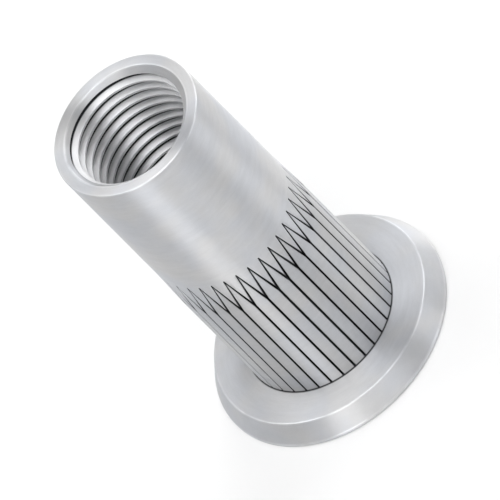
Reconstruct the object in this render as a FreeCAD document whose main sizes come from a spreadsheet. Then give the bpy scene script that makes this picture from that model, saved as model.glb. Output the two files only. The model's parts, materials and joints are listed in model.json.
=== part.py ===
import FreeCAD, Part
import os
import Sketcher

# Rivet nut: a large flange, a straight-ribbed shank, a smooth barrel and an open threaded end.
# Millimetres. The flange's outer face lies on Z = 0 and the threaded end points along +Z.

SIZES = {
    "total_length": 29.6,
    "body_diameter": 11.9,
    # flange: a flat seat, and a conical rim that widens to a narrow land at the outer face
    "flange_diameter": 19.2,
    "seat_diameter": 17.5,
    "flange_thickness": 1.85,
    "rim_land": 0.3,
    # thread, kept here as its minor bore, and the wider bore that folds when the nut is set
    "thread_diameter": 10.0,
    "thread_pitch": 1.0,
    "thread_length": 12.2,
    "mouth_diameter": 10.16,
    "counterbore_diameter": 10.3,
    # ribs: a band a little wider than the barrel, which tapers down to it over the ribs' tips
    "rib_count": 36,
    "rib_diameter": 12.1,
    "rib_length": 14.65,
    "rib_taper": 3.75,
    # grooves between the ribs, and what they come down to at the tips
    "groove_width": 0.26,
    "groove_depth": 0.35,
    "tip_groove_width": 0.13,
    "tip_groove_depth": 0.12,
    # edges
    "rim_radius": 0.15,
    "neck_flare": 0.15,
    "seat_chamfer": 0.08,
    "end_chamfer": 0.12,
    "counterbore_chamfer": 0.3,
}

# The minor bore of a metric thread is its diameter less this share of the pitch.
MINOR_BORE_SHARE = 1.0825
# What the edge search allows between a size and the circle that it finds.
EDGE_TOLERANCE = 1e-4


def make_sheet(doc):
    """The driving sizes, one named cell each."""
    sheet = doc.addObject("Spreadsheet::Sheet", "sizes")
    for row, (name, value) in enumerate(SIZES.items(), start=1):
        sheet.set(f"A{row}", name)
        sheet.set(f"B{row}", str(value))
        sheet.setAlias(f"B{row}", name)
    doc.recompute()
    return sheet


def origin_plane(body, role):
    """One of the body's own origin planes or axes."""
    return next(item for item in body.Origin.OriginFeatures if item.Role == role)


def new_sketch(body, name, plane):
    """An empty sketch on one of the body's origin planes."""
    sketch = body.newObject("Sketcher::SketchObject", name)
    sketch.AttachmentSupport = [(origin_plane(body, plane), "")]
    sketch.MapMode = "FlatFace"
    return sketch


def draw_outline(sketch, corners):
    """Closed outline of straight lines, drawn roughly: its dimensions bring it to size."""
    count = len(corners)
    for i in range(count):
        start = FreeCAD.Vector(*corners[i], 0)
        end = FreeCAD.Vector(*corners[(i + 1) % count], 0)
        sketch.addGeometry(Part.LineSegment(start, end), False)
    for i in range(count):
        sketch.addConstraint(Sketcher.Constraint("Coincident", i, 2, (i + 1) % count, 1))


def dimension(sketch, direction, corner, name, expression):
    """Names a corner's distance from the sketch origin and binds it to the sheet."""
    at = sketch.Geometry[corner].StartPoint
    value = at.x if direction == "DistanceX" else at.y
    index = sketch.addConstraint(Sketcher.Constraint(direction, -1, 1, corner, 1, value))
    sketch.renameConstraint(index, name)
    sketch.setExpression(f"Constraints.{name}", expression)


def circle_edges(shape, radius, height):
    """Names of the full circles of one radius at one height."""
    names = []
    for number, edge in enumerate(shape.Edges, start=1):
        curve = edge.Curve
        if not isinstance(curve, Part.Circle):
            continue
        same_radius = abs(curve.Radius - radius) < EDGE_TOLERANCE
        same_height = abs(curve.Center.z - height) < EDGE_TOLERANCE
        if same_radius and same_height:
            names.append(f"Edge{number}")
    return names


def turned_blank(body):
    """The turned section: flange, band for the ribs, barrel and both bores."""
    sketch = new_sketch(body, "section", "XZ_Plane")
    corners = [
        (5, 0), (10, 0), (10, 0.5), (9, 2), (6.1, 2), (6.1, 12),
        (6, 16), (6, 29), (5.1, 29), (4.5, 28), (4.5, 17), (5, 16),
    ]
    draw_outline(sketch, corners)
    bore, rim, land, seat_edge, neck, shoulder = range(6)
    barrel, end, mouth, thread_top, thread_foot, cone_foot = range(6, 12)
    for line in (bore, seat_edge, end):
        sketch.addConstraint(Sketcher.Constraint("Horizontal", line))
    for line in (rim, neck, barrel, thread_top, cone_foot):
        sketch.addConstraint(Sketcher.Constraint("Vertical", line))
    sketch.addConstraint(Sketcher.Constraint("PointOnObject", bore, 1, -1))

    minor_radius = f"(sizes.thread_diameter - {MINOR_BORE_SHARE} * sizes.thread_pitch) / 2"
    tips = "sizes.flange_thickness + sizes.rib_length"
    thread_start = "sizes.total_length - sizes.thread_length"
    across = {
        bore: ("counterbore_radius", "sizes.counterbore_diameter / 2"),
        rim: ("flange_radius", "sizes.flange_diameter / 2"),
        seat_edge: ("seat_radius", "sizes.seat_diameter / 2"),
        neck: ("crest_radius", "sizes.rib_diameter / 2"),
        barrel: ("barrel_radius", "sizes.body_diameter / 2"),
        mouth: ("mouth_radius", "sizes.mouth_diameter / 2"),
        thread_top: ("thread_radius", minor_radius),
    }
    for corner, (name, expression) in across.items():
        dimension(sketch, "DistanceX", corner, name, expression)
    up = {
        land: ("land_height", "sizes.rim_land"),
        seat_edge: ("seat_height", "sizes.flange_thickness"),
        shoulder: ("shoulder_height", f"{tips} - sizes.rib_taper"),
        barrel: ("tip_height", tips),
        end: ("end_height", "sizes.total_length"),
        # both cones are at 45 degrees, so each is as long as its step in radius
        thread_top: ("countersink_foot", f"sizes.total_length - (sizes.mouth_diameter / 2 - {minor_radius})"),
        thread_foot: ("thread_height", thread_start),
        cone_foot: ("counterbore_depth", f"{thread_start} - (sizes.counterbore_diameter / 2 - {minor_radius})"),
    }
    for corner, (name, expression) in up.items():
        dimension(sketch, "DistanceY", corner, name, expression)

    blank = body.newObject("PartDesign::Revolution", "turned_blank")
    blank.Profile = sketch
    blank.ReferenceAxis = (sketch, ["V_Axis"])
    blank.Angle = 360
    return blank


def broken_edge(body, kind, name, size_name, base, circle):
    """A fillet or chamfer on a whole circle, which is given as its radius and height."""
    feature = body.newObject(f"PartDesign::{kind}", name)
    feature.Base = (base, circle_edges(base.Shape, *circle))
    property_name = "Radius" if kind == "Fillet" else "Size"
    feature.setExpression(property_name, f"sizes.{size_name}")
    body.Document.recompute()
    return feature


def groove_section(body, name, height, turn, surface_radius, width, depth):
    """V-shaped section of the tool that cuts a groove, as far above the surface as it is deep."""
    sketch = new_sketch(body, name, "XY_Plane")
    sketch.setExpression("AttachmentOffset.Base.z", height)
    sketch.setExpression("AttachmentOffset.Rotation.Angle", turn)
    draw_outline(sketch, [(5.7, 0), (6.4, -0.3), (6.4, 0.3)])
    floor, low_lip, high_lip = range(3)
    x_axis = -1
    sketch.addConstraint(Sketcher.Constraint("PointOnObject", floor, 1, x_axis))
    sketch.addConstraint(Sketcher.Constraint("Symmetric", low_lip, 1, high_lip, 1, x_axis))
    dimension(sketch, "DistanceX", floor, "floor_radius", f"{surface_radius} - {depth}")
    dimension(sketch, "DistanceX", high_lip, "lip_radius", f"{surface_radius} + {depth}")
    dimension(sketch, "DistanceY", high_lip, "lip_half", width)
    return sketch


def groove_cut(body, name, profile, section):
    """Cuts from one groove section to the next."""
    cut = body.newObject("PartDesign::SubtractiveLoft", name)
    cut.Profile = profile
    cut.Sections = [section]
    cut.Ruled = True
    body.Document.recompute()
    return cut


def ribs(body):
    """Grooves that part the ribs. Each forks at its top, and the forks of neighbours meet, so every
    rib ends in a point on the barrel."""
    tips = "sizes.flange_thickness + sizes.rib_length"
    half_pitch = "180 / sizes.rib_count"
    crest = ("sizes.rib_diameter / 2", "sizes.groove_width", "sizes.groove_depth")
    barrel = ("sizes.body_diameter / 2", "sizes.tip_groove_width", "sizes.tip_groove_depth")

    foot = groove_section(body, "groove_foot", "sizes.flange_thickness", half_pitch, *crest)
    fork = groove_section(body, "groove_fork", f"{tips} - sizes.rib_taper", half_pitch, *crest)
    near_tip = groove_section(body, "near_tip", tips, "0", *barrel)
    far_tip = groove_section(body, "far_tip", tips, f"2 * {half_pitch}", *barrel)
    cuts = [
        groove_cut(body, "groove", foot, fork),
        groove_cut(body, "near_fork", fork, near_tip),
        groove_cut(body, "far_fork", fork, far_tip),
    ]

    pattern = body.newObject("PartDesign::PolarPattern", "grooves")
    pattern.Originals = cuts
    pattern.Axis = (origin_plane(body, "Z_Axis"), [""])
    pattern.Angle = 360
    pattern.setExpression("Occurrences", "sizes.rib_count")
    body.Tip = pattern
    return pattern


def rivet_nut(doc, sheet):
    """The whole nut, one solid."""
    body = doc.addObject("PartDesign::Body", "rivet_nut")
    body.Label = "rivet_nut"
    blank = turned_blank(body)
    doc.recompute()

    rim = (sheet.flange_diameter / 2, 0)
    neck = (sheet.rib_diameter / 2, sheet.flange_thickness)
    seat_edge = (sheet.seat_diameter / 2, sheet.flange_thickness)
    end_edge = (sheet.body_diameter / 2, sheet.total_length)
    bore_edge = (sheet.counterbore_diameter / 2, 0)
    step = broken_edge(body, "Fillet", "rim_fillet", "rim_radius", blank, rim)
    step = broken_edge(body, "Chamfer", "neck_cone", "neck_flare", step, neck)
    step = broken_edge(body, "Chamfer", "seat_edge", "seat_chamfer", step, seat_edge)
    step = broken_edge(body, "Chamfer", "end_edge", "end_chamfer", step, end_edge)
    broken_edge(body, "Chamfer", "bore_edge", "counterbore_chamfer", step, bore_edge)
    ribs(body)
    doc.recompute()
    return body


def check(doc, bodies):
    """Stops before anything is written if a feature failed or a solid isn't sound."""
    for item in doc.Objects:
        if "Invalid" in item.State or "Error" in item.State:
            raise RuntimeError(f"{item.Label} failed: {item.State}")
    for body in bodies:
        shape = body.Shape
        if shape.isNull() or not shape.isValid() or len(shape.Solids) != 1:
            raise RuntimeError(f"{body.Label} isn't one sound solid")
        box = shape.BoundBox
        print(
            f"{body.Label}: {box.XLength:.2f} x {box.YLength:.2f} x {box.ZLength:.2f} mm,"
            f" {shape.Volume:.2f} mm3, {len(shape.Faces)} faces"
        )


def main():
    doc = FreeCAD.newDocument("rivet_nut")
    sheet = make_sheet(doc)
    bodies = [rivet_nut(doc, sheet)]
    check(doc, bodies)
    os.makedirs("parts", exist_ok=True)
    for body in bodies:
        body.Shape.exportStep(os.path.join("parts", f"{body.Label}.step"))


main()
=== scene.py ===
import json
import math

import bmesh
import bpy
from mathutils import Matrix, Vector


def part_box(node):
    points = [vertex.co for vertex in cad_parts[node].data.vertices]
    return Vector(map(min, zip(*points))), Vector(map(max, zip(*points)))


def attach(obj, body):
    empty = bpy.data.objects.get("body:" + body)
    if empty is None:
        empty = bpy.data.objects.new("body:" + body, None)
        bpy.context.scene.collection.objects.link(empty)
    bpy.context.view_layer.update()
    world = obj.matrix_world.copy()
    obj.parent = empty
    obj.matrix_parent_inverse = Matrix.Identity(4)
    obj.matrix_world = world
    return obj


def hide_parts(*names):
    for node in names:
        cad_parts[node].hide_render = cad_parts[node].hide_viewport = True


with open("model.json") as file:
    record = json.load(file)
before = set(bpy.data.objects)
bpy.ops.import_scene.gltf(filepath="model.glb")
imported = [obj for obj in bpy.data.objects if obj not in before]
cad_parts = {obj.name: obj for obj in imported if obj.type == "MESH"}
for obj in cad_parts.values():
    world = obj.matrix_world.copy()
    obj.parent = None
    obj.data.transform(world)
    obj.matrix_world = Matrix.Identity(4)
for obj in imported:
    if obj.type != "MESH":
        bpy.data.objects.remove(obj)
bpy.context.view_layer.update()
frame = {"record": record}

# Sizes are in metres. Those that the frame gives are read from it, and the rest are written here.
MM = 0.001
MERGE, SLIVER = 0.001 * MM, 0.01 * MM
mounts = {mount["name"]: mount for mount in frame["record"]["mounts"]}
nut_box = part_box("rivet_nut")


def span(name):
    """Radius, lowest and highest point of a bore or pin that stands on the nut's axis."""
    middle = mounts[name]["pos_m"][2]
    half = mounts[name]["dims"]["length_mm"] * MM / 2
    return mounts[name]["dims"]["r_mm"] * MM, middle - half, middle + half


NUT_HEIGHT = nut_box[1].z
FLANGE_RADIUS = nut_box[1].x
SEAT_HEIGHT = mounts["flange_seat"]["pos_m"][2]
BARREL_RADIUS, TIP_HEIGHT, _ = span("barrel")
MINOR_RADIUS, THREAD_FOOT, THREAD_TOP = span("thread")
COUNTERBORE_RADIUS, _, CONE_FOOT = span("counterbore")

# flange
SEAT_RADIUS = 8.75 * MM
RIM_LAND = 0.3 * MM
# ribs, and the grooves between them, which fork below the tips
RIBS = 36
CREST_RADIUS = 6.05 * MM
FORK_HEIGHT = TIP_HEIGHT - 3.75 * MM
GROOVE_DEPTH, TIP_GROOVE_DEPTH = 0.35 * MM, 0.14 * MM
GROOVE_HALF, TIP_GROOVE_HALF = 0.11 * MM, 0.07 * MM
GROOVE_FLOOR_HALF = 0.02 * MM
LIP = 0.04 * MM
GROOVE_FOOT_CLEARANCE = 0.01 * MM
FORK_OVERLAP = 0.05 * MM
FORK_ROOT_SHARE = 0.9
FORK_OFFSET = 0.02 * MM
# thread
PITCH = 1.0 * MM
MAJOR_RADIUS = 5.0 * MM
MOUTH_RADIUS = 5.08 * MM
ROOT_HALF = PITCH / 16
THREAD_LIP = 0.03 * MM
FLANK_SLOPE = math.tan(math.radians(30))
# broken edges
BORE_CHAMFER = 0.3 * MM
RIM_ROUND = 0.15 * MM
EDGE_ROUND = 0.1 * MM
NECK_ROUND = 0.08 * MM
SHOULDER_ROUND = 5 * MM
FINE_ROUND = 0.04 * MM

# How finely round stretches are divided.
BLANK_SIDES = 288
# The blank's edges stand clear of the ribs' middle lines, where the forks meet.
BLANK_TURN = 0.3 * 2 * math.pi / BLANK_SIDES
ROUND_STEPS = 4
THREAD_STEPS = 144
SMOOTH_ANGLE = math.radians(35)
# Two edges that turn back on each other by less than this are a fold, left by a cut.
FOLD_ANGLE = math.radians(90)

# colours of the plate, and the share of light that it loses on the ribs and in the countersink
ZINC = (0.65, 0.65, 0.655, 1)
BLUE_ZINC = (0.62, 0.633, 0.662, 1)
# painted light: the thread's colour is lighter than the plate, to lift the shade deep in the bore
THREAD_STEEL_PAINTED_LIGHTER = (0.88, 0.885, 0.9, 1)
# painted shade: the near-black grey that the grooves, the thread's roots and the corner at the flange are
# darkened towards
PAINTED_SHADE_GREY = (0.05, 0.05, 0.055, 1)
RIB_LOSS, COUNTERSINK_LOSS = 0.12, 0.12
METALLIC = 0.9
SATIN_ROUGHNESS, ROUGHNESS_SPREAD = 0.5, 0.1
RECESS_ROUGHNESS, RUBBED_POLISH = 0.2, 0.15
ANISOTROPY, QUARTER_TURN = 0.9, 0.25
# turning marks: their width, how much they change round the axis, and how much closer they follow
# one another across a flat face than along the barrel
MARK_WIDTH, MARK_LENGTHS, MARK_CLOSENESS = 0.45 * MM, 3.0, 1.3
GRAIN_SIZE, MOTTLE_SIZE, TINT_SIZE = 0.1 * MM, 1.6 * MM, 4 * MM
# detail and roughness of their noise
MARK_NOISE, GRAIN_NOISE, MOTTLE_NOISE = (4.0, 0.7), (3.0, 0.6), (4.0, 0.55)
# the noise between which the plate goes over to the bluer zinc
TINT_BAND = (0.35, 0.65)
# how far each texture changes the tone, and how the marks and the grain stand up
MARK_TONE, GRAIN_TONE, MOTTLE_TONE = 0.22, 0.06, 0.1
MARK_DEPTH, GRAIN_RELIEF, BUMP_STRENGTH = 0.008 * MM, 0.4, 0.5
# depths or distances over which the painted shade comes in, in a groove, at a thread root and near the
# corner at the flange
GROOVE_SHADE = (0.005 * MM, 0.06 * MM)
ROOT_SHADE = (0.35 * MM, 0.42 * MM)
CORNER_SHADE = (0.02 * MM, 0.14 * MM)
# outer edges, as radius and height, which rub a little brighter than the plate between them
RUBBED_EDGES = (
    (FLANGE_RADIUS, 0),
    (FLANGE_RADIUS, RIM_LAND),
    (SEAT_RADIUS, SEAT_HEIGHT),
    (BARREL_RADIUS, NUT_HEIGHT),
    (MOUTH_RADIUS, NUT_HEIGHT),
)
RUBBED_REACH, RUBBED_TONE = (0.04 * MM, 0.16 * MM), 0.12
# as the mottle goes from the first value to the second, the rub goes from the third to the fourth
RUBBED_PATCHES = (0.3, 0.55, 0.4, 1.0)

# stage
FLOOR_SIZE = 4.0
FLOOR_COLOUR = (0.8, 0.8, 0.8, 1)
FLOOR_LIFT = 0.1
# the room's plain light, and what it gains near the horizon and overhead
ROOM_LEVEL, ROOM_HORIZON, ROOM_TOP = 0.15, 0.3, 0.3
# how steeply a direction rises where the one gain fades out and the other comes in
HORIZON_BAND, TOP_BAND = (0.02, 0.2), (0.35, 0.6)
LAMP_DISTANCE = 0.3
# name, azimuth, elevation, width, height, brightness
LAMPS = (
    ("front_left_softbox", -40, 14, 0.14, 0.18, 2.4),
    ("front_right_softbox", 60, 14, 0.14, 0.18, 1.4),
    ("back_right_softbox", 140, 14, 0.14, 0.18, 2.4),
    ("back_left_softbox", -150, 45, 0.18, 0.18, 1.3),
    ("right_softbox", 120, 45, 0.18, 0.18, 2.4),
    ("high_left_softbox", -120, 70, 0.18, 0.18, 2.2),
    ("high_front_softbox", 0, 70, 0.18, 0.18, 2.3),
    ("front_softbox", 0, 50, 0.14, 0.14, 1.3),
)
# camera
VIEW_WIDTH = 35.97 * MM
VIEW_HEIGHT, VIEW_SHIFT = 11.75 * MM, 0
VIEW_ELEVATION, VIEW_ROLL = 44.7, 45
VIEW_DISTANCE = 0.2
VIEW_CLIP = (0.001, 10)


def begin(name):
    """The primitive just added becomes a named piece with its place in its mesh, open for editing."""
    piece = bpy.context.object
    piece.name = piece.data.name = name
    bpy.ops.object.transform_apply(location=True, rotation=True, scale=True)
    bpy.ops.object.mode_set(mode="EDIT")
    bpy.ops.mesh.select_mode(type="VERT")
    bpy.ops.mesh.select_all(action="SELECT")
    return piece


def pick(piece, wanted):
    """Selects the vertices whose place passes the test, and nothing else."""
    mesh = bmesh.from_edit_mesh(piece.data)
    for vertex in mesh.verts:
        vertex.select = wanted(vertex.co)
    mesh.select_flush_mode()
    mesh.select_flush(True)
    bmesh.update_edit_mesh(piece.data)


def close_up(piece):
    """Merges doubles, turns all faces outwards and leaves edit mode."""
    bpy.ops.mesh.select_all(action="SELECT")
    bpy.ops.mesh.remove_doubles(threshold=MERGE)
    bpy.ops.mesh.normals_make_consistent(inside=False)
    bpy.ops.object.mode_set(mode="OBJECT")


def rounded(corners):
    """A closed outline with its corners rounded. A corner is its radius from the axis, its height and
    the radius of its round."""
    points = []
    count = len(corners)
    for i in range(count):
        here, radius = Vector(corners[i][:2]), corners[i][2]
        before = (Vector(corners[i - 1][:2]) - here).normalized()
        after = (Vector(corners[(i + 1) % count][:2]) - here).normalized()
        if radius == 0:
            points.append(here)
            continue
        half = before.angle(after) / 2
        centre = here + (before + after).normalized() * radius / math.sin(half)
        start = here + before * radius / math.tan(half) - centre
        end = here + after * radius / math.tan(half) - centre
        turn = start.angle_signed(end)
        for step in range(ROUND_STEPS + 1):
            swung = start.copy()
            swung.rotate(Matrix.Rotation(-turn * step / ROUND_STEPS, 2))
            points.append(centre + swung)
    return points


def blank_outline():
    """Section of the nut before its grooves and thread are cut, from the bore round the outside."""
    return rounded([
        (COUNTERBORE_RADIUS + BORE_CHAMFER, 0, FINE_ROUND),
        (FLANGE_RADIUS, 0, RIM_ROUND),
        (FLANGE_RADIUS, RIM_LAND, EDGE_ROUND),
        (SEAT_RADIUS, SEAT_HEIGHT, EDGE_ROUND),
        (CREST_RADIUS, SEAT_HEIGHT, NECK_ROUND),
        (CREST_RADIUS, FORK_HEIGHT, SHOULDER_ROUND),
        (BARREL_RADIUS, TIP_HEIGHT, SHOULDER_ROUND),
        (BARREL_RADIUS, NUT_HEIGHT, EDGE_ROUND),
        (MOUTH_RADIUS, NUT_HEIGHT, FINE_ROUND),
        (MINOR_RADIUS, THREAD_TOP, FINE_ROUND),
        (MINOR_RADIUS, THREAD_FOOT, 0),
        (COUNTERBORE_RADIUS, CONE_FOOT, 0),
        (COUNTERBORE_RADIUS, BORE_CHAMFER, 0),
    ])


def turned_blank():
    """The nut's body of revolution, drawn out of one ring: each step extrudes it to the next point."""
    outline = blank_outline()
    start = outline[0]
    bpy.ops.object.select_all(action="DESELECT")
    bpy.ops.mesh.primitive_circle_add(
        vertices=BLANK_SIDES, radius=start.x, location=(0, 0, start.y), rotation=(0, 0, BLANK_TURN)
    )
    blank = begin("nut_body")
    for last, point in zip(outline, outline[1:] + [start]):
        bpy.ops.mesh.extrude_region_move(TRANSFORM_OT_translate={"value": (0, 0, point.y - last.y)})
        widen = point.x / last.x
        bpy.ops.transform.resize(value=(widen, widen, 1), center_override=(0, 0, 0))
    close_up(blank)
    return blank


def groove_section(name, height):
    """The V of a groove, standing on +X, flat at one height and open for editing: a narrow floor, two
    walls, and lips that flare at 45 degrees where the walls meet the surface."""
    # how far it stands out of the surface, and as much wider
    clear = 2 * LIP
    outer_half = GROOVE_HALF + clear
    bpy.ops.object.select_all(action="DESELECT")
    middle = CREST_RADIUS + (clear - GROOVE_DEPTH) / 2
    bpy.ops.mesh.primitive_plane_add(size=1, location=(middle, 0, height))
    bpy.context.object.scale = (GROOVE_DEPTH + clear, 2 * outer_half, 1)
    tool = begin(name)
    pick(tool, lambda co: co.x < CREST_RADIUS - LIP)
    narrow = GROOVE_FLOOR_HALF / outer_half
    bpy.ops.transform.resize(value=(1, narrow, 1), center_override=(0, 0, height))
    bpy.ops.mesh.select_all(action="SELECT")
    lip_radius = CREST_RADIUS - LIP
    bpy.ops.mesh.bisect(plane_co=(lip_radius, 0, 0), plane_no=(1, 0, 0))
    pick(tool, lambda co: abs(co.x - lip_radius) < MERGE)
    wide = max(v.co.y for v in bmesh.from_edit_mesh(tool.data).verts if v.select)
    bpy.ops.transform.resize(value=(1, (GROOVE_HALF - LIP) / wide, 1), center_override=(0, 0, height))
    return tool


def draw_to(tool, height, new_height):
    """Draws the end of a tool at one height to a new height, and leaves the new end selected."""
    pick(tool, lambda co: abs(co.z - height) < MERGE)
    bpy.ops.mesh.extrude_region_move(TRANSFORM_OT_translate={"value": (0, 0, new_height - height)})


def groove_tool():
    """Cuts one groove, from the flange up to its fork."""
    foot = SEAT_HEIGHT + GROOVE_FOOT_CLEARANCE
    tool = groove_section("groove_tool", foot)
    draw_to(tool, foot, FORK_HEIGHT)
    return tool


def fork_tool(side, tip_height):
    """Cuts one fork of a groove, from where it parts to the tip of the next rib on that side."""
    tool = groove_section("fork_tool", FORK_HEIGHT)
    draw_to(tool, FORK_HEIGHT, tip_height)
    shares = (TIP_GROOVE_DEPTH / GROOVE_DEPTH, TIP_GROOVE_HALF / GROOVE_HALF, 1)
    bpy.ops.transform.resize(value=shares, center_override=(CREST_RADIUS, 0, tip_height))
    bpy.ops.transform.translate(value=(BARREL_RADIUS - CREST_RADIUS, 0, 0))
    bpy.ops.transform.rotate(value=side * math.pi / RIBS, orient_axis="Z", center_override=(0, 0, 0))
    # its root lies inside the groove, so that the two run together with no film between them
    root = FORK_HEIGHT - FORK_OVERLAP
    draw_to(tool, FORK_HEIGHT, root)
    shares = (FORK_ROOT_SHARE, FORK_ROOT_SHARE, 1)
    bpy.ops.transform.resize(value=shares, center_override=(CREST_RADIUS, 0, root))
    return tool


def round_the_nut(tool):
    """Turns a tool half a rib to stand on its groove, and copies it to every other groove."""
    bpy.ops.mesh.select_all(action="SELECT")
    bpy.ops.mesh.quads_convert_to_tris()
    bpy.ops.transform.rotate(value=math.pi / RIBS, orient_axis="Z", center_override=(0, 0, 0))
    turn = 2 * math.pi * (RIBS - 1) / RIBS
    bpy.ops.mesh.spin(steps=RIBS - 1, dupli=True, angle=turn, center=(0, 0, 0), axis=(0, 0, 1))
    close_up(tool)
    return tool


def thread_tool():
    """Cuts the thread: the section of one groove, wound into a right-hand helix. It starts inside the
    bore, clear of its wall, and narrows at 45 degrees to the lips where the thread's flanks begin."""
    lip_radius = MINOR_RADIUS + THREAD_LIP
    lip_half = ROOT_HALF + (MAJOR_RADIUS - lip_radius) * FLANK_SLOPE
    inner_radius = MINOR_RADIUS - 2 * THREAD_LIP
    inner_half = lip_half + 3 * THREAD_LIP
    start = CONE_FOOT - PITCH
    turns = math.ceil((NUT_HEIGHT + PITCH - start) / PITCH)
    bpy.ops.object.select_all(action="DESELECT")
    bpy.ops.mesh.primitive_plane_add(
        size=1, location=((inner_radius + MAJOR_RADIUS) / 2, 0, start), rotation=(math.pi / 2, 0, 0)
    )
    bpy.context.object.scale = (MAJOR_RADIUS - inner_radius, 2 * inner_half, 1)
    tool = begin("thread_tool")
    bpy.ops.mesh.bisect(plane_co=(lip_radius, 0, 0), plane_no=(1, 0, 0))
    for radius, half in ((lip_radius, lip_half), (MAJOR_RADIUS, ROOT_HALF)):
        pick(tool, lambda co: abs(co.x - radius) < MERGE)
        bpy.ops.transform.resize(value=(1, 1, half / inner_half), center_override=(0, 0, start))
    bpy.ops.object.mode_set(mode="OBJECT")
    winding = tool.modifiers.new("winding", "SCREW")
    winding.axis = "Z"
    winding.screw_offset = PITCH
    winding.iterations = turns
    winding.steps = winding.render_steps = THREAD_STEPS
    bpy.ops.object.modifier_apply(modifier=winding.name)
    bpy.ops.object.mode_set(mode="EDIT")
    bpy.ops.mesh.select_all(action="SELECT")
    bpy.ops.mesh.remove_doubles(threshold=MERGE)
    bpy.ops.mesh.select_all(action="SELECT")
    bpy.ops.mesh.fill_holes(sides=0)
    close_up(tool)
    return tool


def cut(piece, tool):
    """Takes the tool's shape out of the piece, and removes the tool."""
    bpy.ops.object.select_all(action="DESELECT")
    bpy.context.view_layer.objects.active = piece
    piece.select_set(True)
    modifier = piece.modifiers.new("cut", "BOOLEAN")
    modifier.operation = "DIFFERENCE"
    modifier.solver = "EXACT"
    modifier.object = tool
    bpy.ops.object.modifier_apply(modifier=modifier.name)
    bpy.data.objects.remove(tool)


def drop_slivers(piece):
    """Takes out what the cuts leave with no width: flat slivers, and points that crowd another on the
    same edge or end a fold."""
    bpy.ops.mesh.select_all(action="SELECT")
    bpy.ops.mesh.dissolve_degenerate(threshold=MERGE)
    mesh = bmesh.from_edit_mesh(piece.data)
    for vertex in mesh.verts:
        vertex.select = False
        if len(vertex.link_edges) != 2:
            continue
        ways = [edge.other_vert(vertex).co - vertex.co for edge in vertex.link_edges]
        crowded = min(way.length for way in ways) < SLIVER
        folded = ways[0].angle(ways[1]) < FOLD_ANGLE
        vertex.select = crowded or folded
    mesh.select_flush_mode()
    bmesh.update_edit_mesh(piece.data)
    bpy.ops.mesh.dissolve_verts()


def rivet_nut():
    """The whole nut: the turned blank, with its thread and its forked grooves cut."""
    nut = turned_blank()
    cut(nut, thread_tool())
    cut(nut, round_the_nut(groove_tool()))
    cut(nut, round_the_nut(fork_tool(1, TIP_HEIGHT)))
    cut(nut, round_the_nut(fork_tool(-1, TIP_HEIGHT - FORK_OFFSET)))
    bpy.ops.object.mode_set(mode="EDIT")
    drop_slivers(nut)
    close_up(nut)
    bpy.ops.object.shade_smooth_by_angle(angle=SMOOTH_ANGLE)
    return nut


def add_node(tree, kind, settings=None, **inputs):
    """A node with its settings and its inputs, each a value or another node's output. An input goes
    by its name, or by its number, as in i0, where the node has several of one name."""
    node = tree.nodes.new(kind)
    for name, value in (settings or {}).items():
        setattr(node, name, value)
    for name, value in inputs.items():
        numbered = name[1:].isdigit()
        socket = node.inputs[int(name[1:])] if numbered else node.inputs[name.replace("_", " ")]
        if isinstance(value, bpy.types.NodeSocket):
            tree.links.new(value, socket)
        else:
            socket.default_value = value
    return node


def calculate(tree, operation, first, second=0.0, third=0.0):
    """One step of arithmetic on numbers."""
    step = add_node(tree, "ShaderNodeMath", {"operation": operation}, i0=first, i1=second, i2=third)
    return step.outputs[0]


def combined(tree, operation, first, *others):
    """The same step of arithmetic over all the numbers, one after the other."""
    result = first
    for other in others:
        result = calculate(tree, operation, result, other)
    return result


def above(tree, value, limit):
    """1 where the value is over the limit, and 0 elsewhere."""
    return calculate(tree, "GREATER_THAN", value, limit)


def below(tree, value, limit):
    """1 where the value is under the limit, and 0 elsewhere."""
    return calculate(tree, "LESS_THAN", value, limit)


def ramp(tree, value, start, end, low=0.0, high=1.0):
    """Goes smoothly from low to high while the value goes from start to end."""
    step = add_node(
        tree, "ShaderNodeMapRange", {"interpolation_type": "SMOOTHSTEP"},
        i0=value, i1=start, i2=end, i3=low, i4=high,
    )
    return step.outputs[0]


def noise(tree, vector, scale, detail=2.0, roughness=0.5):
    """Soft noise from 0 to 1."""
    step = add_node(
        tree, "ShaderNodeTexNoise", Vector=vector, Scale=scale, Detail=detail, Roughness=roughness
    )
    return step.outputs["Fac"]


def mixed(tree, share, first, second):
    """Goes from the first colour to the second while the share goes from 0 to 1."""
    blend = add_node(tree, "ShaderNodeMix", {"data_type": "RGBA"}, Factor=share, i6=first, i7=second)
    return blend.outputs[2]


def near_circle(tree, section, circle, reach):
    """1 close to a circle round the axis, given as its radius and height, and 0 past its reach."""
    away = add_node(tree, "ShaderNodeVectorMath", {"operation": "DISTANCE"}, i0=section, i1=(*circle, 0))
    return ramp(tree, away.outputs["Value"], reach[1], reach[0])


def turning_marks(tree, height, radius, outward):
    """Marks left by turning, which run round the axis: they change along the surface, and hardly
    round it."""
    toward = add_node(tree, "ShaderNodeSeparateXYZ", Vector=outward)
    along = calculate(tree, "MULTIPLY_ADD", radius, MARK_CLOSENESS, height)
    place = add_node(
        tree, "ShaderNodeCombineXYZ",
        X=calculate(tree, "MULTIPLY", toward.outputs[0], MARK_LENGTHS),
        Y=calculate(tree, "MULTIPLY", toward.outputs[1], MARK_LENGTHS),
        Z=calculate(tree, "MULTIPLY", along, 1 / MARK_WIDTH),
    )
    return noise(tree, place.outputs[0], 1.0, *MARK_NOISE)


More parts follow.
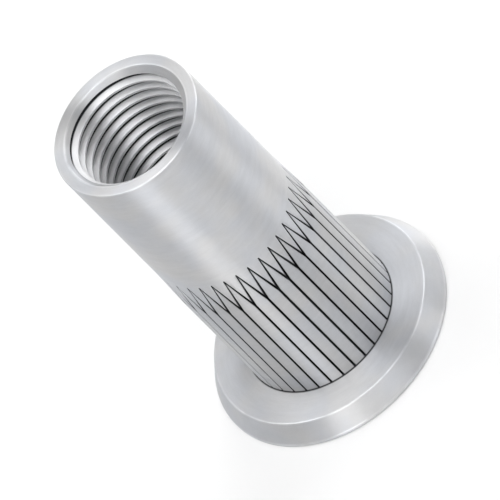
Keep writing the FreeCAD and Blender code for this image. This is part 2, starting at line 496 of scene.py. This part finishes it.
def painted_recess_shade(tree, height, radius, section, on_shank, in_bore):
    """Painted shade: 1 on the floors of the grooves, at the roots of the thread and in the corner at the
    flange, where the colour is darkened to stand for the shade there.
    """
    crest = ramp(tree, height, FORK_HEIGHT, TIP_HEIGHT, CREST_RADIUS, BARREL_RADIUS)
    # painted shade: the groove floors darken with depth below the crest
    painted_groove_shade = ramp(tree, calculate(tree, "SUBTRACT", crest, radius), *GROOVE_SHADE)
    painted_groove_shade = calculate(tree, "MULTIPLY", painted_groove_shade, on_shank)
    # the wall of the bore stands back as the countersink widens
    widened = calculate(tree, "MAXIMUM", calculate(tree, "SUBTRACT", height, THREAD_TOP), 0.0)
    behind_wall = combined(tree, "SUBTRACT", radius, MINOR_RADIUS, widened)
    painted_root_shade = calculate(tree, "MULTIPLY", ramp(tree, behind_wall, *ROOT_SHADE), in_bore)
    painted_corner_shade = near_circle(tree, section, (CREST_RADIUS, SEAT_HEIGHT), CORNER_SHADE)
    return combined(tree, "MAXIMUM", painted_groove_shade, painted_root_shade, painted_corner_shade)


def rubbed_edges(tree, section, mottle):
    """1 on the outer edges where they rub most, and less in patches."""
    reached = [near_circle(tree, section, edge, RUBBED_REACH) for edge in RUBBED_EDGES]
    patches = ramp(tree, mottle, *RUBBED_PATCHES)
    return calculate(tree, "MULTIPLY", combined(tree, "MAXIMUM", *reached), patches)


def zinc_plated_steel():
    """Bright zinc plate over turned steel: satin, with fine marks round the axis, a faint mottle, painted
    shade in the grooves, at the thread's roots and in the flange corner, a thread painted lighter against
    the bore's shade, and slightly brighter edges."""
    material = bpy.data.materials.new("zinc_plated_steel")
    material.use_nodes = True
    tree = material.node_tree
    shader = tree.nodes["Principled BSDF"]

    place = add_node(tree, "ShaderNodeTexCoord").outputs["Object"]
    x, y, height = add_node(tree, "ShaderNodeSeparateXYZ", Vector=place).outputs
    flat = add_node(tree, "ShaderNodeCombineXYZ", X=x, Y=y, Z=0.0).outputs[0]
    radius = add_node(tree, "ShaderNodeVectorMath", {"operation": "LENGTH"}, i0=flat).outputs["Value"]
    outward = add_node(tree, "ShaderNodeVectorMath", {"operation": "NORMALIZE"}, i0=flat).outputs[0]
    section = add_node(tree, "ShaderNodeCombineXYZ", X=radius, Y=height, Z=0.0).outputs[0]

    marks = turning_marks(tree, height, radius, outward)
    grain = noise(tree, place, 1 / GRAIN_SIZE, *GRAIN_NOISE)
    mottle = noise(tree, place, 1 / MOTTLE_SIZE, *MOTTLE_NOISE)
    tint = ramp(tree, noise(tree, place, 1 / TINT_SIZE), *TINT_BAND)

    on_shank = combined(
        tree, "MULTIPLY",
        above(tree, radius, (MAJOR_RADIUS + BARREL_RADIUS) / 2),
        above(tree, height, SEAT_HEIGHT),
        below(tree, height, TIP_HEIGHT + FORK_OVERLAP),
    )
    on_ribs = calculate(tree, "MULTIPLY", on_shank, ramp(tree, height, FORK_HEIGHT, TIP_HEIGHT, 1.0, 0.0))
    in_bore = calculate(
        tree, "MULTIPLY", below(tree, radius, MAJOR_RADIUS + FINE_ROUND), above(tree, height, THREAD_FOOT)
    )
    on_thread = calculate(tree, "MULTIPLY", in_bore, below(tree, height, THREAD_TOP))
    in_countersink = calculate(
        tree, "MULTIPLY", below(tree, radius, MOUTH_RADIUS), above(tree, height, THREAD_TOP)
    )
    painted_shade = painted_recess_shade(tree, height, radius, section, on_shank, in_bore)
    rubbed = rubbed_edges(tree, section, mottle)

    # the rolled ribs and the countersink are duller than the barrel, and the thread is painted lighter,
    # as painted light against the shade in the bore
    gains = ((rubbed, RUBBED_TONE), (on_ribs, -RIB_LOSS), (in_countersink, -COUNTERSINK_LOSS))
    swings = ((mottle, MOTTLE_TONE), (marks, MARK_TONE), (grain, GRAIN_TONE))
    factors = [calculate(tree, "MULTIPLY_ADD", where, gain, 1.0) for where, gain in gains]
    factors += [
        calculate(tree, "MULTIPLY_ADD", texture, swing, 1 - swing / 2) for texture, swing in swings
    ]
    tone = combined(tree, "MULTIPLY", *factors)
    grey = add_node(tree, "ShaderNodeCombineColor", Red=tone, Green=tone, Blue=tone)
    # painted light: the thread takes the lighter colour, against the shade in the bore
    metal = mixed(tree, on_thread, mixed(tree, tint, ZINC, BLUE_ZINC), THREAD_STEEL_PAINTED_LIGHTER)
    plate = add_node(
        tree, "ShaderNodeMix", {"data_type": "RGBA", "blend_type": "MULTIPLY"},
        Factor=1.0, i6=metal, i7=grey.outputs[0],
    )
    # painted shade: the grooves, the thread's roots and the corner at the flange go dark
    colour = mixed(tree, painted_shade, plate.outputs[2], PAINTED_SHADE_GREY)
    tree.links.new(colour, shader.inputs["Base Color"])

    # the mottle and the marks each spread the roughness about its middle value
    roughness = SATIN_ROUGHNESS - ROUGHNESS_SPREAD
    shifts = (
        (mottle, ROUGHNESS_SPREAD), (marks, ROUGHNESS_SPREAD),
        (painted_shade, RECESS_ROUGHNESS), (rubbed, -RUBBED_POLISH),
    )
    for where, shift in shifts:
        roughness = calculate(tree, "MULTIPLY_ADD", where, shift, roughness)
    tree.links.new(roughness, shader.inputs["Roughness"])

    relief = calculate(tree, "MULTIPLY_ADD", grain, GRAIN_RELIEF, marks)
    bump = add_node(tree, "ShaderNodeBump", Strength=BUMP_STRENGTH, Distance=MARK_DEPTH, Height=relief)
    tree.links.new(bump.outputs[0], shader.inputs["Normal"])

    # the plate shines along the marks' own direction, as a turned face does
    round_axis = add_node(
        tree, "ShaderNodeVectorMath", {"operation": "CROSS_PRODUCT"}, i0=(0, 0, 1), i1=outward
    )
    tree.links.new(round_axis.outputs[0], shader.inputs["Tangent"])
    shader.inputs["Metallic"].default_value = METALLIC
    shader.inputs["Anisotropic"].default_value = ANISOTROPY
    shader.inputs["Anisotropic Rotation"].default_value = QUARTER_TURN
    return material


def floor():
    """Plain pale floor. It keeps the nut's shadow, and the camera and the metal both see it white."""
    bpy.ops.object.select_all(action="DESELECT")
    bpy.ops.mesh.primitive_plane_add(size=FLOOR_SIZE)
    ground = bpy.context.object
    ground.name = ground.data.name = "floor"
    material = bpy.data.materials.new("pale_floor")
    material.use_nodes = True
    tree = material.node_tree
    tree.nodes.clear()
    paint = add_node(tree, "ShaderNodeBsdfDiffuse", Color=FLOOR_COLOUR)
    ray = add_node(tree, "ShaderNodeLightPath").outputs
    rays = [ray[name] for name in ("Is Camera Ray", "Is Glossy Ray", "Is Transmission Ray")]
    strength = calculate(tree, "MULTIPLY", combined(tree, "MAXIMUM", *rays), FLOOR_LIFT)
    lift = add_node(tree, "ShaderNodeEmission", Color=(1, 1, 1, 1), Strength=strength)
    both = add_node(tree, "ShaderNodeAddShader", i0=paint.outputs[0], i1=lift.outputs[0])
    add_node(tree, "ShaderNodeOutputMaterial", Surface=both.outputs[0])
    ground.data.materials.append(material)


def softbox(name, azimuth, elevation, width, height, brightness):
    """A soft lamp aimed at the nut. Azimuth is where it stands: 0 in front, on -Y, and 90 on +X."""
    turn, rise = math.radians(azimuth), math.radians(elevation)
    away = Vector((math.sin(turn) * math.cos(rise), -math.cos(turn) * math.cos(rise), math.sin(rise)))
    lamp = bpy.data.lights.new(name, "AREA")
    lamp.shape = "RECTANGLE"
    lamp.size, lamp.size_y = width, height
    lamp.energy = brightness * width * height * math.pi
    box = bpy.data.objects.new(name, lamp)
    box.location = Vector((0, 0, NUT_HEIGHT / 2)) + away * LAMP_DISTANCE
    box.rotation_euler = away.to_track_quat("Z", "Y").to_euler()
    bpy.context.scene.collection.objects.link(box)


def studio():
    """Soft light: a plain room and the lamps."""
    world = bpy.data.worlds.new("studio")
    bpy.context.scene.world = world
    world.use_nodes = True
    tree = world.node_tree
    tree.nodes.clear()
    direction = add_node(tree, "ShaderNodeTexCoord").outputs["Generated"]
    rise = add_node(tree, "ShaderNodeSeparateXYZ", Vector=direction).outputs[2]
    horizon = ramp(tree, rise, *HORIZON_BAND, ROOM_HORIZON, 0.0)
    top = ramp(tree, rise, *TOP_BAND, 0.0, ROOM_TOP)
    strength = combined(tree, "ADD", horizon, ROOM_LEVEL, top)
    light = add_node(tree, "ShaderNodeBackground", Color=(1, 1, 1, 1), Strength=strength)
    add_node(tree, "ShaderNodeOutputWorld", Surface=light.outputs[0])
    for lamp in LAMPS:
        softbox(*lamp)


def camera():
    """Looks down on the nut from the threaded end's side, rolled so that the nut lies across the view
    from the upper left to the lower right."""
    lens = bpy.data.cameras.new("camera")
    lens.type = "ORTHO"
    lens.ortho_scale = VIEW_WIDTH
    eye = bpy.data.objects.new("camera", lens)
    rise = math.radians(VIEW_ELEVATION)
    back = Vector((0, -math.cos(rise), math.sin(rise)))
    up = Vector((0, math.sin(rise), math.cos(rise)))
    right = Vector((1, 0, 0))
    roll = math.radians(VIEW_ROLL)
    eye_right = right * math.cos(roll) - up * math.sin(roll)
    eye_up = right * math.sin(roll) + up * math.cos(roll)
    turn = Matrix((eye_right, eye_up, back)).transposed().to_4x4()
    stand = Vector((VIEW_SHIFT, 0, VIEW_HEIGHT)) + back * VIEW_DISTANCE
    eye.matrix_world = Matrix.Translation(stand) @ turn
    lens.clip_start, lens.clip_end = VIEW_CLIP
    bpy.context.scene.collection.objects.link(eye)
    bpy.context.scene.camera = eye


nut = rivet_nut()
nut.data.materials.append(zinc_plated_steel())
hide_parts("rivet_nut")
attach(nut, "root")
floor()
studio()
camera()
bpy.context.scene.view_settings.view_transform = "Standard"
